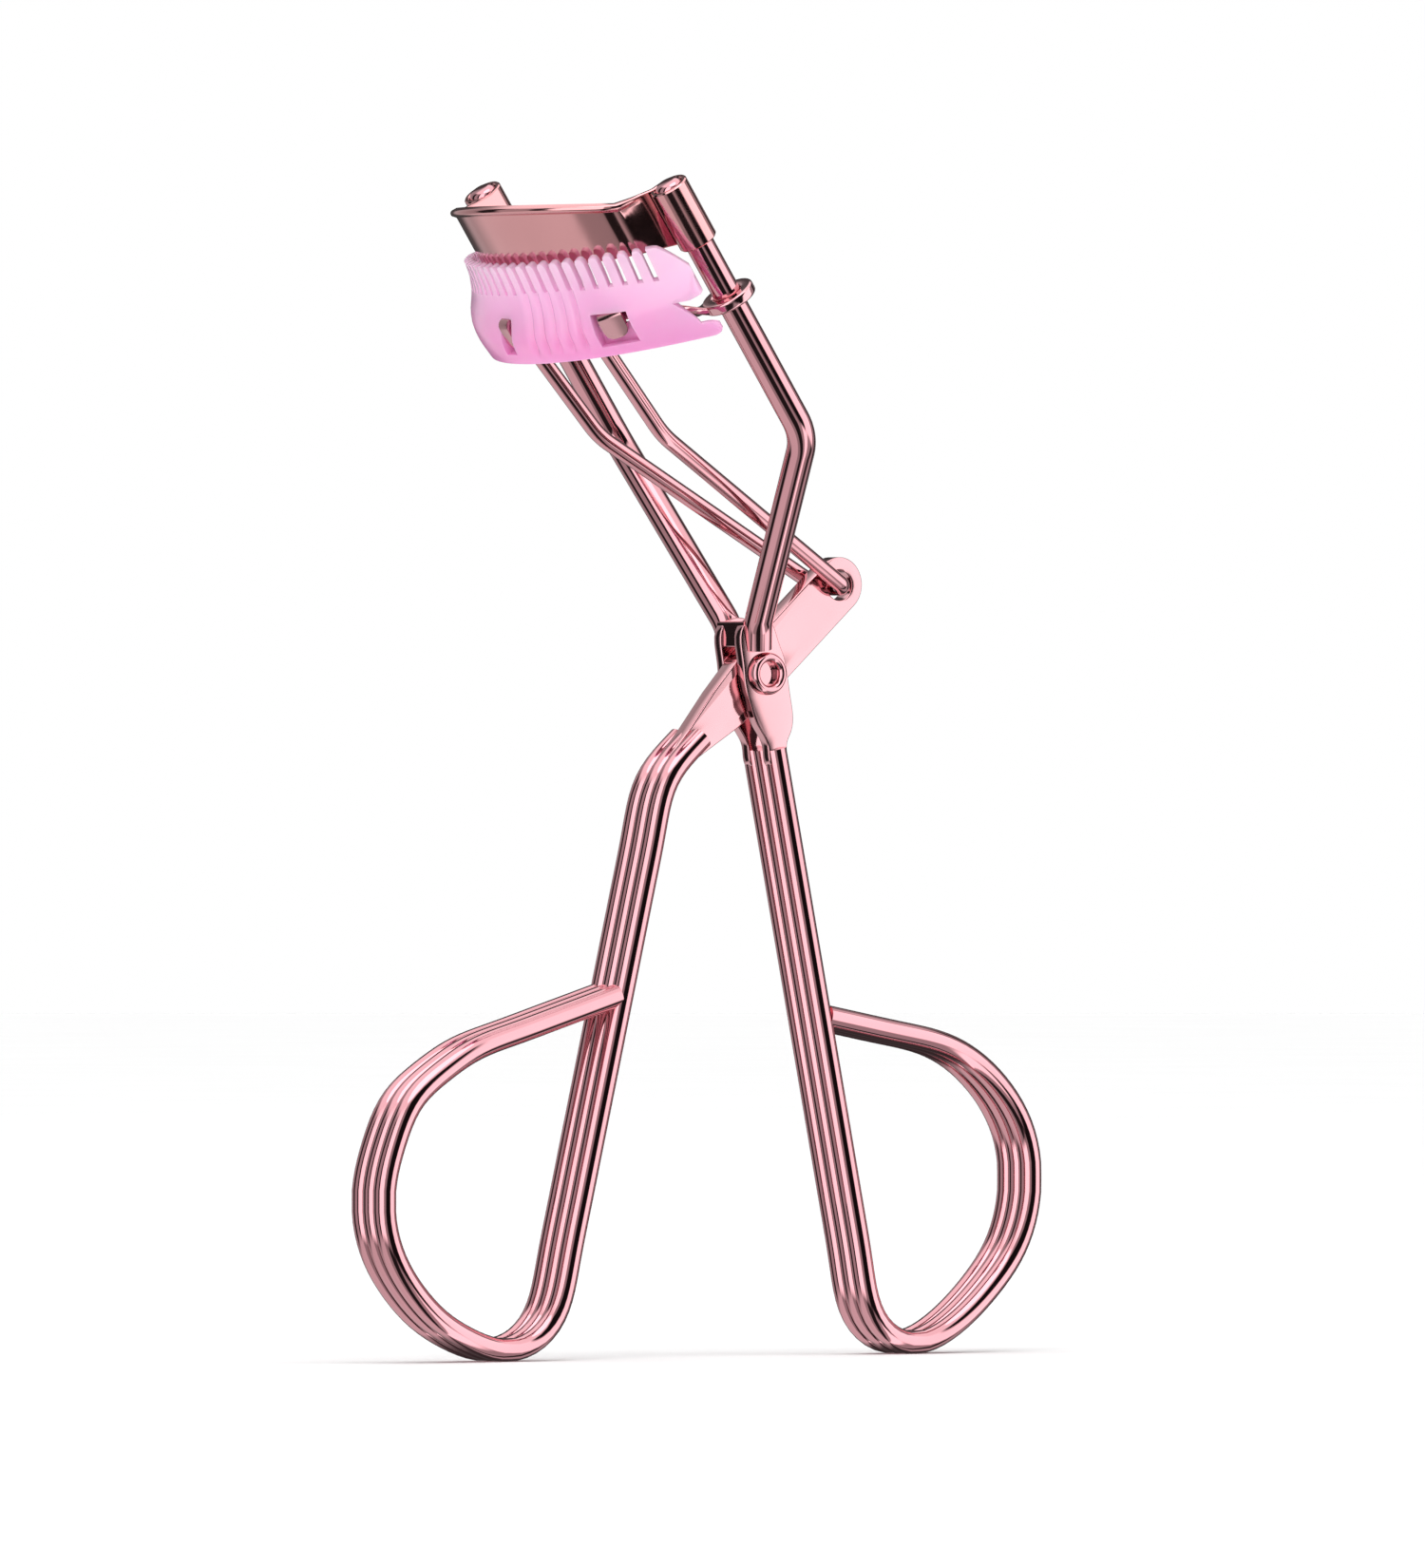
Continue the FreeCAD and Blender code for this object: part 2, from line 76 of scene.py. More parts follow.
def J(p, y, h):
    return W(ELBOW[0] - CL * p - SL * h, y, ELBOW[1] - SL * p + CL * h)


# ---------------------------------------------------------------------------
# Mesh helpers
# ---------------------------------------------------------------------------
def build(name, verts, faces, sharp=35.0):
    me = bpy.data.meshes.new(name)
    me.from_pydata([tuple(np.asarray(v, float) * 0.001) for v in verts], [], faces)
    bm = bmesh.new()
    bm.from_mesh(me)
    bmesh.ops.remove_doubles(bm, verts=bm.verts, dist=2e-7)
    bmesh.ops.dissolve_degenerate(bm, edges=bm.edges, dist=1e-8)
    bmesh.ops.recalc_face_normals(bm, faces=bm.faces)
    bm.to_mesh(me)
    bm.free()
    ob = bpy.data.objects.new(name, me)
    bpy.context.scene.collection.objects.link(ob)
    smooth(ob, sharp)
    return ob


def smooth(ob, sharp=35.0):
    me = ob.data
    me.shade_smooth()
    me.set_sharp_from_angle(angle=math.radians(sharp))


def freeze(ob):
    """keep the result of the modifiers as the mesh"""
    dg = bpy.context.evaluated_depsgraph_get()
    me = bpy.data.meshes.new_from_object(ob.evaluated_get(dg))
    ob.modifiers.clear()
    ob.data = me
    return ob


def bevel(ob, width, segments=3, angle=35.0, sharp=50.0):
    m = ob.modifiers.new("edge", "BEVEL")
    m.width = width * 0.001
    m.segments = segments
    m.limit_method = "ANGLE"
    m.angle_limit = math.radians(angle)
    m.use_clamp_overlap = True
    m.harden_normals = False
    freeze(ob)
    smooth(ob, sharp)
    return ob


def cut(ob, *cutters):
    for c in cutters:
        m = ob.modifiers.new("cut", "BOOLEAN")
        m.operation = "DIFFERENCE"
        m.solver = "EXACT"
        m.object = c
    freeze(ob)
    for c in cutters:
        bpy.data.objects.remove(c)
    return ob


def join(name, obs):
    """several meshes as one object"""
    bm = bmesh.new()
    for o in obs:
        bm.from_mesh(o.data)
    me = bpy.data.meshes.new(name)
    bm.to_mesh(me)
    bm.free()
    for o in obs:
        bpy.data.objects.remove(o)
    ob = bpy.data.objects.new(name, me)
    bpy.context.scene.collection.objects.link(ob)
    return ob


def loft(name, rings, cap=True, loop=False, sharp=35.0):
    """skin over closed rings with the same number of points"""
    n, m = len(rings), len(rings[0])
    verts = [p for r in rings for p in r]
    faces = []
    for i in range(n if loop else n - 1):
        a, b = i * m, ((i + 1) % n) * m
        for k in range(m):
            q = (k + 1) % m
            faces.append((a + k, a + q, b + q, b + k))
    if cap and not loop:
        faces.append(tuple(range(m))[::-1])
        faces.append(tuple((n - 1) * m + k for k in range(m)))
    return build(name, verts, faces, sharp)


def corners3(points, radii, step=3.0, span=2.5):
    """points and tangents along a polyline whose corners are rounded"""
    pts = [np.array(p, float) for p in points]
    out = []

    def add(p, t):
        if not out or np.linalg.norm(out[-1][0] - p) > 1e-4:
            out.append((p, t))

    def line(a, b):
        d = b - a
        ln = np.linalg.norm(d)
        if ln < 1e-6:
            return
        for i in range(int(ln / span) + 2):
            add(a + d * i / (int(ln / span) + 1), d / ln)

    cur = pts[0]
    for i in range(1, len(pts) - 1):
        a, b, c = pts[i - 1], pts[i], pts[i + 1]
        d1 = (b - a) / np.linalg.norm(b - a)
        d2 = (c - b) / np.linalg.norm(c - b)
        ang = math.acos(max(-1, min(1, float(d1 @ d2))))
        r = radii[i - 1]
        t = r * math.tan(ang / 2)
        s = b - d1 * t
        axis = np.cross(d1, d2)
        axis = axis / np.linalg.norm(axis)
        cen = s + np.cross(axis, d1) * r
        line(cur, s)
        k = max(4, int(math.degrees(ang) / step))
        for j in range(k + 1):
            w = ang * j / k
            rad = (s - cen) * math.cos(w) + np.cross(axis, s - cen) * math.sin(w)
            tan = d1 * math.cos(w) + np.cross(axis, d1) * math.sin(w)
            add(cen + rad, tan)
        cur = b + d2 * t
    line(cur, pts[-1])
    return out


def tube(name, points, radii, dia, seg=40, dome0=0.0, dome1=0.0):
    """round wire along a rounded path, with eased ends"""
    path = corners3(points, radii)
    r = dia / 2
    t0 = path[0][1]
    u = np.cross(t0, [0.0, 0.0, 1.0])
    if np.linalg.norm(u) < 0.05:
        u = np.cross(t0, [0.0, 1.0, 0.0])
    u /= np.linalg.norm(u)
    rings = []

    def ring(c, t, u, rad):
        v = np.cross(t, u)
        return [c + rad * (u * math.cos(w) + v * math.sin(w))
                for w in np.linspace(0, 2 * math.pi, seg, endpoint=False)]

    frames = []
    for p, t in path:
        u = u - t * (u @ t)
        u /= np.linalg.norm(u)
        frames.append((p, t, u.copy()))
    if dome0:
        p, t, u = frames[0]
        for w in np.linspace(8, 78, 6):
            a = math.radians(w)
            rings.append(ring(p + t * dome0 * (1 - math.sin(a)), t, u, r - dome0 * (1 - math.cos(math.pi / 2 - a))))
        frames = [f for f in frames if (f[0] - p) @ t > dome0 * 1.05 or np.linalg.norm(f[0] - p) > 3]
    tail = []
    if dome1:
        p, t, u = frames[-1]
        for w in np.linspace(12, 82, 6):
            a = math.radians(w)
            tail.append(ring(p - t * dome1 * (1 - math.sin(a)), t, u, r - dome1 * (1 - math.cos(a))))
        frames = [f for f in frames if (p - f[0]) @ t > dome1 * 1.05]
    for p, t, u in frames:
        rings.append(ring(p, t, u, r))
    return loft(name, rings + tail)


def fair(line, step=0.9, rounds=70):
    """even spacing, and the jumps in curvature between lines and arcs eased without shrinking"""
    p = np.array([q for q, _ in line])
    d = np.concatenate([[0], np.cumsum(np.linalg.norm(np.diff(p, axis=0), axis=1))])
    k = int(d[-1] / step)
    s = np.linspace(0, d[-1], k)
    p = np.stack([np.interp(s, d, p[:, i]) for i in range(3)], 1)
    start = p.copy()
    for _ in range(rounds):
        for w in (0.5, -0.52):
            q = p.copy()
            q[1:-1] += w * ((p[:-2] + p[2:]) / 2 - p[1:-1])
            p = q
    p[:, 2] = np.maximum(p[:, 2], start[:, 2].min())
    p[:, 0] = np.clip(p[:, 0], start[:, 0].min(), start[:, 0].max())
    t = np.gradient(p, axis=0)
    t /= np.linalg.norm(t, axis=1)[:, None]
    return list(zip(p, t))


def strip(name, path, radii):
    """rolled three-ridge strip along a rounded path in the XZ plane"""
    r, p = RIDGE_R, RIDGE_PITCH
    prof = []

    def arc(cy, a0, a1, n):
        for w in np.linspace(a0, a1, n, endpoint=False):
            prof.append((cy + r * math.cos(math.radians(w)), r * math.sin(math.radians(w))))

    v = math.degrees(math.acos(p / 2 / r))
    arc(-p, v, 360 - v, 34)
    arc(0, 180 + v, 360 - v, 14)
    arc(p, -180 + v, 180 - v, 34)
    arc(0, v, 180 - v, 14)
    rings = []
    line = fair(corners3([(x, 0, z) for x, z in path], radii, 2.5, 1.0))
    for c, t in line:
        n = np.cross([0.0, 1.0, 0.0], t)
        n /= np.linalg.norm(n)
        rings.append([W(*c) + np.array([0.0, y, 0.0]) + n * m for y, m in prof])
    return loft(name, rings, sharp=40)


def spline(points, per=8):
    """closed cubic through the points"""
    p = np.array(points, float)
    n = len(p)
    d = np.linalg.norm(np.roll(p, -1, 0) - p, axis=1)
    a = np.zeros((n, n))
    b = np.zeros((n, p.shape[1]))
    for i in range(n):
        h0, h1 = d[i - 1], d[i]
        a[i, i - 1] = h0
        a[i, i] = 2 * (h0 + h1)
        a[i, (i + 1) % n] = h1
        b[i] = 6 * ((p[(i + 1) % n] - p[i]) / h1 - (p[i] - p[i - 1]) / h0)
    m = np.linalg.solve(a, b)
    out = []
    for i in range(n):
        h, j = d[i], (i + 1) % n
        for k in range(per):
            t = h * k / per
            out.append(m[i] * (h - t) ** 3 / (6 * h) + m[j] * t ** 3 / (6 * h)
                       + (p[i] / h - m[i] * h / 6) * (h - t) + (p[j] / h - m[j] * h / 6) * t)
    return out


def slab(name, outline, y0, y1):
    """flat plate in XZ between two Y values"""
    return loft(name, [[W(x, y, z) for x, z in outline] for y in (y0, y1)], sharp=40)


def lathe(name, section, place, seg=64, sharp=35.0):
    """ring of a closed section [(radius, along)...]; place(r cos, r sin, along) gives the point"""
    rings = []
    for w in np.linspace(0, 2 * math.pi, seg, endpoint=False):
        rings.append([place(r * math.cos(w), r * math.sin(w), t) for r, t in section])
    return loft(name, rings, cap=False, loop=True, sharp=sharp)


def round_section(poly, rad, n=5):
    """closed polygon with rounded corners"""
    out = []
    m = len(poly)
    for i in range(m):
        a, b, c = (np.array(poly[(i + k - 1) % m], float) for k in range(3))
        u, v = (a - b), (c - b)
        t = min(rad, np.linalg.norm(u) * 0.45, np.linalg.norm(v) * 0.45)
        s, e = b + u / np.linalg.norm(u) * t, b + v / np.linalg.norm(v) * t
        for k in range(n):
            w = k / (n - 1)
            out.append((1 - w) ** 2 * s + 2 * w * (1 - w) * b + w * w * e)
    return out


def arc_ring(theta, section, tilt=True):
    """section [(r, h)...] stood up at an angle about the jaw arc axis"""
    a = math.radians(theta)
    out = []
    for r, h in section:
        p = CX + r * math.cos(a)
        out.append(J(p, r * math.sin(a), h + (SLOPE * (p - APEX_P) if tilt else 0)))
    return out


# ---------------------------------------------------------------------------
# Materials
# ---------------------------------------------------------------------------
def material(name):
    m = bpy.data.materials.new(name)
    m.use_nodes = True
    return m, m.node_tree.nodes, m.node_tree.links, m.node_tree.nodes["Principled BSDF"]


def node(nodes, kind, **values):
    n = nodes.new(kind)
    for k, v in values.items():
        if k in n.inputs:
            n.inputs[k].default_value = v
        else:
            setattr(n, k, v)
    return n


def ramp(nodes, stops):
    r = nodes.new("ShaderNodeValToRGB")
    e = r.color_ramp.elements
    while len(e) < len(stops):
        e.new(0.5)
    for el, (pos, col) in zip(e, stops):
        el.position = pos
        el.color = tuple(col) + (1.0,)
    return r


def rose_metal(name, base, rough, grain=(1.0, 1.0, 1.0), wear=0.5):
    """plated mirror metal: cloudy tone, polish haze, hairline scratches"""
    m, n, l, b = material(name)
    b.inputs["Metallic"].default_value = 1.0
    tc = n.new("ShaderNodeTexCoord")
    cloud = node(n, "ShaderNodeTexNoise", Scale=90.0, Detail=3.0)
    l.new(tc.outputs["Object"], cloud.inputs["Vector"])
    c = ramp(n, [(0.30, [v * 0.93 for v in base]), (0.70, [min(1, v * 1.04) for v in base])])
    l.new(cloud.outputs["Fac"], c.inputs["Fac"])
    l.new(c.outputs["Color"], b.inputs["Base Color"])
    haze = node(n, "ShaderNodeTexNoise", Scale=420.0, Detail=5.0)
    l.new(tc.outputs["Object"], haze.inputs["Vector"])
    mr = n.new("ShaderNodeMapRange")
    mr.inputs["From Min"].default_value = 0.35
    mr.inputs["From Max"].default_value = 0.75
    mr.inputs["To Min"].default_value = rough
    mr.inputs["To Max"].default_value = rough + 0.07 * wear
    l.new(haze.outputs["Fac"], mr.inputs["Value"])
    l.new(mr.outputs["Result"], b.inputs["Roughness"])
    mp = n.new("ShaderNodeMapping")
    mp.inputs["Scale"].default_value = grain
    l.new(tc.outputs["Object"], mp.inputs["Vector"])
    hair = node(n, "ShaderNodeTexNoise", Scale=2600.0, Detail=2.0)
    l.new(mp.outputs["Vector"], hair.inputs["Vector"])
    bump = n.new("ShaderNodeBump")
    bump.inputs["Strength"].default_value = 0.05 * wear
    bump.inputs["Distance"].default_value = 0.00001
    l.new(hair.outputs["Fac"], bump.inputs["Height"])
    l.new(bump.outputs["Normal"], b.inputs["Normal"])
    return m


# Painted shade and painted light: the plating is one finish, but the round bars' copy (ROSE) has a darker base colour
# and the flat plates' copy a paler one, for how each shape looks under the studio light. The roughness and grain
# direction of each copy are the finish's own.
ROSE = (0.68, 0.335, 0.370)
bar_metal = rose_metal("rose_plating", ROSE, 0.05, (1, 1, 0.08))
flat_metal = rose_metal("rose_plating_flat", (0.70, 0.375, 0.405), 0.08, (1, 1, 0.15), 0.8)
blade_metal = rose_metal("rose_plating_blade", (0.70, 0.345, 0.355), 0.10, (0.1, 0.1, 1), 0.8)


def comb_material():
    m, n, l, b = material("comb_moulding")
    b.inputs["Roughness"].default_value = 0.22
    b.inputs["Subsurface Weight"].default_value = 0.45
    b.inputs["Subsurface Radius"].default_value = (1.0, 0.55, 0.8)
    b.inputs["Subsurface Scale"].default_value = 0.0022
    b.inputs["Coat Weight"].default_value = 0.25
    b.inputs["Coat Roughness"].default_value = 0.12
    tc = n.new("ShaderNodeTexCoord")
    # Painted light and painted shade: object Z from 90.5 to 100 mm drives the base colour from deep pink at the comb's
    # bottom to pale pink at its tooth tips, standing in for the lit top and the shaded lower bulge. The cloud noise
    # added to it is the moulding's own uneven tone.
    sep = n.new("ShaderNodeSeparateXYZ")
    l.new(tc.outputs["Object"], sep.inputs["Vector"])
    mr = n.new("ShaderNodeMapRange")
    mr.inputs["From Min"].default_value = 0.0905
    mr.inputs["From Max"].default_value = 0.1000
    l.new(sep.outputs["Z"], mr.inputs["Value"])
    cloud = node(n, "ShaderNodeTexNoise", Scale=160.0, Detail=2.0)
    l.new(tc.outputs["Object"], cloud.inputs["Vector"])
    mix = n.new("ShaderNodeMath")
    mix.operation = "MULTIPLY_ADD"
    mix.inputs[1].default_value = 0.35
    l.new(cloud.outputs["Fac"], mix.inputs[0])
    l.new(mr.outputs["Result"], mix.inputs[2])
    c = ramp(n, [(0.15, (0.90, 0.30, 0.60)), (0.60, (0.93, 0.44, 0.71)), (1.0, (0.95, 0.56, 0.78))])
    l.new(mix.outputs["Value"], c.inputs["Fac"])
    l.new(c.outputs["Color"], b.inputs["Base Color"])
    grain = node(n, "ShaderNodeTexNoise", Scale=900.0, Detail=2.0)
    l.new(tc.outputs["Object"], grain.inputs["Vector"])
    bump = n.new("ShaderNodeBump")
    bump.inputs["Strength"].default_value = 0.06
    bump.inputs["Distance"].default_value = 0.00003
    l.new(grain.outputs["Fac"], bump.inputs["Height"])
    l.new(bump.outputs["Normal"], b.inputs["Normal"])
    return m


def rubber_material():
    m, n, l, b = material("pad_silicone")
    b.inputs["Subsurface Weight"].default_value = 0.2
    b.inputs["Subsurface Scale"].default_value = 0.001
    tc = n.new("ShaderNodeTexCoord")
    a = node(n, "ShaderNodeTexNoise", Scale=300.0, Detail=3.0)
    l.new(tc.outputs["Object"], a.inputs["Vector"])
    c = ramp(n, [(0.35, (0.74, 0.24, 0.42)), (0.7, (0.82, 0.32, 0.50))])
    l.new(a.outputs["Fac"], c.inputs["Fac"])
    l.new(c.outputs["Color"], b.inputs["Base Color"])
    mr = n.new("ShaderNodeMapRange")
    mr.inputs["To Min"].default_value = 0.42
    mr.inputs["To Max"].default_value = 0.58
    l.new(a.outputs["Fac"], mr.inputs["Value"])
    l.new(mr.outputs["Result"], b.inputs["Roughness"])
    g = node(n, "ShaderNodeTexNoise", Scale=3000.0, Detail=2.0)
    l.new(tc.outputs["Object"], g.inputs["Vector"])
    bump = n.new("ShaderNodeBump")
    bump.inputs["Strength"].default_value = 0.15
    bump.inputs["Distance"].default_value = 0.00002
    l.new(g.outputs["Fac"], bump.inputs["Height"])
    l.new(bump.outputs["Normal"], b.inputs["Normal"])
    return m


comb_mat = comb_material()
pad_mat = rubber_material()


def piece(ob, body, mat, slot_name, *replaced):
    ob.data.materials.clear()
    ob.data.materials.append(mat)
    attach(ob, body)
    if replaced:
        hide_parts(*replaced)
    return ob


# ---------------------------------------------------------------------------
# Handles, yoke, rivet, lever
# ---------------------------------------------------------------------------
front = strip("front_strip", FRONT_PATH, FRONT_RADII)
piece(front, "frame", bar_metal, "rose_steel", "front_handle")

rear = strip("rear_strip", REAR_PATH, REAR_RADII)
piece(rear, "lever", bar_metal, "rose_steel", "rear_handle")

outline = spline(YOKE_OUTLINE, 6)
walls = []
for i, (y0, y1) in enumerate(((-WALL_OUT, -WALL_IN), (WALL_IN, WALL_OUT))):
    walls.append(bevel(slab("yoke_wall_%d" % i, outline, y0, y1), 0.16, 3))
bx = round_section([(-2.50, 2.40), (-1.75, 2.40), (-1.75, 4.75), (-2.50, 4.75)], 0.18, 4)
walls.append(slab("yoke_bridge", bx, -WALL_OUT + 0.05, WALL_OUT - 0.05))
yoke = join("yoke", walls)
smooth(yoke, 40)
piece(yoke, "frame", flat_metal, "rose_steel")


def rivet_section():
    y, t, ro, ri, rh = WALL_OUT, RIVET_HEAD_T, RIVET_OD / 2, RIVET_ID / 2, RIVET_HEAD / 2
    mid, half = (rh + ri) / 2, (rh - ri) / 2
    s = []
    for w in np.linspace(0, 180, 15):
        a = math.radians(w)
        s.append((mid + half * math.cos(a), y + 0.15 + (t - 0.15) * math.sin(a) ** 0.8))
    for w in np.linspace(180, 0, 15):
        a = math.radians(w)
        s.append((mid + half * math.cos(a), -y - 0.15 - (t - 0.15) * math.sin(a) ** 0.8))
    s += [(rh, -y), (ro, -y), (ro, y), (rh, y)]
    return s


rivet = lathe("rivet", rivet_section(), lambda a, b, t: W(a, t, b))
piece(rivet, "frame", bar_metal, "rose_steel", "pivot_rivet")

ca, sa = math.cos(math.radians(LEVER_ANGLE)), math.sin(math.radians(LEVER_ANGLE))


def L(t, n):
    return (t * ca - n * sa, t * sa + n * ca)


tip = LINK_HOLE_DIST + 0.1
edge = [L(-12.6, -0.95), L(-9.3, -1.45), L(-5.0, -2.20), L(-1.0, -2.50)]
for w in np.linspace(-90, 90, 25):
    a = math.radians(w)
    edge.append(L(tip + 2.5 * math.cos(a), 2.5 * math.sin(a)))
edge += [L(-1.0, 2.50), L(-5.0, 2.05), L(-9.3, 1.30), L(-12.6, 0.95)]
hx, hz = L(LINK_HOLE_DIST, 0)
lever = slab("lever", edge, -LEVER_T / 2, LEVER_T / 2)


def y_pin(x, z, d, name):
    ring = [(x + d / 2 * math.cos(w), z + d / 2 * math.sin(w)) for w in np.linspace(0, 2 * math.pi, 64, endpoint=False)]
    return slab(name, ring, -4, 4)


cut(lever, y_pin(hx, hz, LINK_HOLE_D, "c1"), y_pin(0, 0, LEVER_BORE, "c2"))
bevel(lever, 0.14, 3)
piece(lever, "lever", flat_metal, "rose_steel", "lever_plate")

# ---------------------------------------------------------------------------
# Guide rods and link
# ---------------------------------------------------------------------------
for side, sgn in (("left", 1), ("right", -1)):
    pts = [W(-0.80, sgn * 1.85, 2.30), W(-1.12, sgn * 2.35, 4.60),
           W(ELBOW[0], sgn * ROD_Y, ELBOW[1]), J(0, sgn * ROD_Y, ROD_TOP)]
    rod = tube("rod_" + side, pts, [4.0, 5.0], ROD_D, 48, 0, 0.7)
    for v in rod.data.vertices:
        # flat inner side, clear of the lever
        v.co.y = sgn * max(sgn * v.co.y, 0.00123)
    piece(rod, "frame", bar_metal, "rose_steel", "guide_rod_" + side)

ex, ez = hx + LINK_REST[0], hz + LINK_REST[1]
hp = J(HINGE_P, 0, HINGE_H)
ty = 5.30
pts = [W(ex, -0.15, ez), W(ex, -1.95, ez), W(LINK_BEND[0], -4.80, LINK_BEND[1]), [hp[0], -ty, hp[2]],
       [hp[0], ty, hp[2]], W(LINK_BEND[0], 4.80, LINK_BEND[1]), W(ex, 1.95, ez), W(ex, 0.15, ez)]
link = tube("link", pts, [0.95, 8.0, 0.95, 0.95, 8.0, 0.95], LINK_D, 36, 0.0, 0.0)
piece(link, "link", bar_metal, "rose_steel", "link_wire")

# ---------------------------------------------------------------------------
# Upper jaw: one bent sheet, wrapped round both rods
# ---------------------------------------------------------------------------
rm = ROD_D / 2 + SHEET / 2 + 0.01
ARC_END, BEND_R = 40.0, 2.50
a1 = math.radians(ARC_END)
bx, by = CX + (ARC_R - BEND_R) * math.cos(a1), (ARC_R - BEND_R) * math.sin(a1)
a2 = math.atan2(ROD_Y - by, -bx) - math.acos((rm + BEND_R) / math.hypot(bx, ROD_Y - by))


def sheet_lo(p):
    return max(SLEEVE_LO, SLEEVE_LO + SLOPE * p)


def sheet_hi(p):
    ps, hs = [-5, 0.6, 2.6, 4.3, 5.6, 12], [SLEEVE_HI, SLEEVE_HI, 27.55, 28.05, 28.85, 33.06]
    return min(float(np.interp(p, ps, hs)), sum(float(np.interp(p + k, ps, hs)) for k in (-0.8, -0.4, 0, 0.4, 0.8)) / 5)


half_plan = []
for w in np.linspace(0, a1, 44):
    half_plan.append(((CX + ARC_R * math.cos(w), ARC_R * math.sin(w)), (math.cos(w), math.sin(w)), 0))
for w in np.linspace(a1, a2, 16)[1:]:
    half_plan.append(((bx + BEND_R * math.cos(w), by + BEND_R * math.sin(w)), (math.cos(w), math.sin(w)), 0))
n2 = (math.cos(a2), math.sin(a2))
e0, t0 = half_plan[-1][0], (-rm * n2[0], ROD_Y - rm * n2[1])
for k in range(1, 10):
    w = k / 10
    half_plan.append(((e0[0] * (1 - w) + t0[0] * w, e0[1] * (1 - w) + t0[1] * w), n2, 0))
for w in np.linspace(0, 306, 60):
    b = a2 + math.pi - math.radians(w)
    half_plan.append(((rm * math.cos(b), ROD_Y + rm * math.sin(b)), (-math.cos(b), -math.sin(b)), 1))
plan = [((p, -y), (np_, -ny), k) for (p, y), (np_, ny), k in half_plan[:0:-1]] + half_plan
rings = []
for (p, y), (nx, ny), wrapped in plan:
    bead = 0.0 if wrapped else max(0.0, min(1.0, (p - 1.4) / 3.0))
    bead = bead * bead * (3 - 2 * bead)
    b, t = (SLEEVE_LO, SLEEVE_HI) if wrapped else (sheet_lo(p), sheet_hi(p))
    o = SHEET / 2 - 0.01
    sec = [(-o, b + 0.12), (-o + 0.1, b), (o - 0.1, b), (o, b + 0.12)]
    for f in (0.2, 0.4, 0.6, 0.8):
        sec.append((o, b + (t - 0.9 - b) * f))
    sec.append((o, t - 0.85))
    for w in np.linspace(-60, 90, 9):
        g = math.radians(w)
        sec.append((o + bead * (0.02 + 0.32 * math.cos(g)) - (1 - bead) * 0.1 * max(0, math.sin(g)),
                    t - 0.34 * bead - 0.12 * (1 - bead) + (0.34 * bead + 0.12 * (1 - bead)) * math.sin(g)))
    sec += [(-o + 0.1, t), (-o, t - 0.12)]
    for f in (0.75, 0.5, 0.25):
        sec.append((-o, b + (t - b) * f))
    rings.append([J(p + nx * d, y + ny * d, h) for d, h in sec])
jaw = loft("upper_jaw_sheet", rings, sharp=38)
piece(jaw, "frame", blade_metal, "rose_steel", "upper_jaw")

# ---------------------------------------------------------------------------
# Lower jaw: channel, tabs, twisted wings, eyelets
# ---------------------------------------------------------------------------
r_in, r_out = ARC_R - PAD_W / 2, ARC_R + PAD_W / 2
fl_top = PAD_TOP - PAD_T
fl_bot = fl_top - SHEET
u = [(r_in - 0.4, fl_bot), (r_out + 0.4, fl_bot), (r_out + 0.4, fl_top + 1.3), (r_out, fl_top + 1.3),
     (r_out, fl_top), (r_in, fl_top), (r_in, fl_top + 1.3), (r_in - 0.4, fl_top + 1.3)]
parts = [loft("channel", [arc_ring(w, round_section(u, 0.16, 4)) for w in np.linspace(-JAW_HALF, JAW_HALF, 65)])]
for ti, (ang, wide) in enumerate(TABS):
    # tab: folded out over the channel's wall and down through the comb's window, with a rounded foot
    up = SLOPE * (CX + 19.3 * math.cos(math.radians(ang)) - APEX_P)
    top, foot = fl_top + 0.88 + up, fl_top - 1.95 + up
    half_tab = 3.5 if wide > 3 else wide - 0.1
    cols = []
    for w in np.linspace(-half_tab, half_tab, 33):
        e = max(0.0, abs(w) / half_tab - 0.25) / 0.75
        low = foot + min(0.85, half_tab * 0.3) * (1 - math.sqrt(max(0.0, 1 - e * e)))
        mid = [(r_out + 0.38, top - 0.22), (TAB_R - 0.75, top - 0.22)]
        for g in np.linspace(90, 0, 8):
            q = math.radians(g)
            mid.append((TAB_R - 0.75 + 0.5 * math.cos(q), top - 0.72 + 0.5 * math.sin(q)))
        for h in np.linspace(top - 0.9, low + 0.24, 9):
            mid.append((TAB_R - 0.25, h))
        m2 = np.array(mid)
        d = np.gradient(m2, axis=0)
        d /= np.linalg.norm(d, axis=1)[:, None]
        nn = np.stack([-d[:, 1], d[:, 0]], 1)
        cols.append(arc_ring(ang + w, [tuple(q) for q in m2 + nn * 0.22] + [tuple(q) for q in (m2 - nn * 0.22)[::-1]], tilt=False))
    parts.append(bevel(loft("tab_%d" % ti, cols), 0.06, 2))
